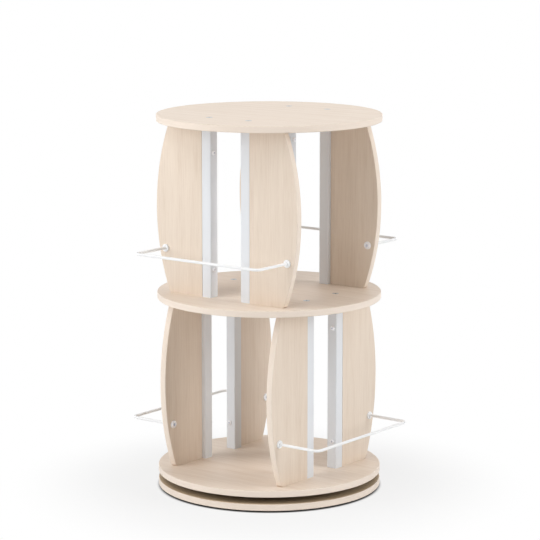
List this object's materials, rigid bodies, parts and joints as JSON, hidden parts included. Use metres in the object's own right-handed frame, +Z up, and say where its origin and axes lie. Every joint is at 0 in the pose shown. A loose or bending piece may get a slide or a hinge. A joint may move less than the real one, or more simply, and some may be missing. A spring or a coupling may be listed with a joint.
{
  "type": "revolving bookcase",
  "caption": "Round revolving bookcase: shelves on barrel-shaped side panels and square posts, wire rails outside the walls, turning on a ball-bearing base.",
  "frame": {"origin": "on the turning axis, at the level of the feet", "axes": "+Z up along the turning axis; the upper tier's walls run along X and the lower tier's along Y at rest"},
  "size_m": [0.421, 0.421, 0.673],
  "materials": {
    "board_laminate": "satin pale maple laminate",
    "panel_laminate": "satin pale maple laminate",
    "post_paint": "white powder coat",
    "rail_paint": "white powder coat",
    "rail_screw_paint": "white enamel",
    "zinc_steel": "bright zinc plate",
    "dowel_beech": "raw beech",
    "plug_nylon": "moulded nylon",
    "turntable_aluminium": "satin",
    "ball_steel": "ground and polished",
    "cage_plastic": "moulded",
    "foot_rubber": "matt"
  },
  "bodies": {
    "base": {"base_disc": "board_laminate", "base_feet": "foot_rubber", "turntable_outer_ring": "turntable_aluminium", "turntable_lower_screws": "zinc_steel"},
    "ball_cage": {"turntable_balls": "ball_steel", "turntable_ball_cage": "cage_plastic"},
    "carousel": {"bottom_shelf": "board_laminate", "middle_shelf": "board_laminate", "top_shelf": "board_laminate", "lower_right_front_panel": "panel_laminate", "lower_right_back_panel": "panel_laminate", "lower_left_back_panel": "panel_laminate", "lower_left_front_panel": "panel_laminate", "upper_front_left_panel": "panel_laminate", "upper_front_right_panel": "panel_laminate", "upper_back_right_panel": "panel_laminate", "upper_back_left_panel": "panel_laminate", "lower_right_front_post": "post_paint", "lower_right_back_post": "post_paint", "lower_left_back_post": "post_paint", "lower_left_front_post": "post_paint", "upper_front_left_post": "post_paint", "upper_front_right_post": "post_paint", "upper_back_right_post": "post_paint", "upper_back_left_post": "post_paint", "lower_right_rail": "rail_paint", "lower_left_rail": "rail_paint", "upper_front_rail": "rail_paint", "upper_back_rail": "rail_paint", "lower_rail_collars": "rail_paint", "upper_rail_collars": "rail_paint", "lower_rail_screws": "rail_screw_paint", "upper_rail_screws": "rail_screw_paint", "lower_panel_screws": "rail_screw_paint", "upper_panel_screws": "rail_screw_paint", "lower_shelf_bolts": "zinc_steel", "upper_shelf_bolts": "zinc_steel", "turntable_upper_screws": "zinc_steel", "lower_panel_dowels": "dowel_beech", "upper_panel_dowels": "dowel_beech", "lower_post_plugs": "plug_nylon", "upper_post_plugs": "plug_nylon", "turntable_inner_ring": "turntable_aluminium"}
  },
  "joints": [
    {"name": "carousel_spin", "type": "hinge", "parent": "base", "child": "carousel", "pos_m": [0, 0, 0.021], "axis": [0, 0, 1], "continuous": true},
    {"name": "cage_orbit", "type": "hinge", "parent": "base", "child": "ball_cage", "pos_m": [0, 0, 0.021], "axis": [0, 0, 1], "continuous": true}
  ],
  "couplings": [
    {"joint": "cage_orbit", "follows": "carousel_spin", "ratio": 0.4821}
  ]
}
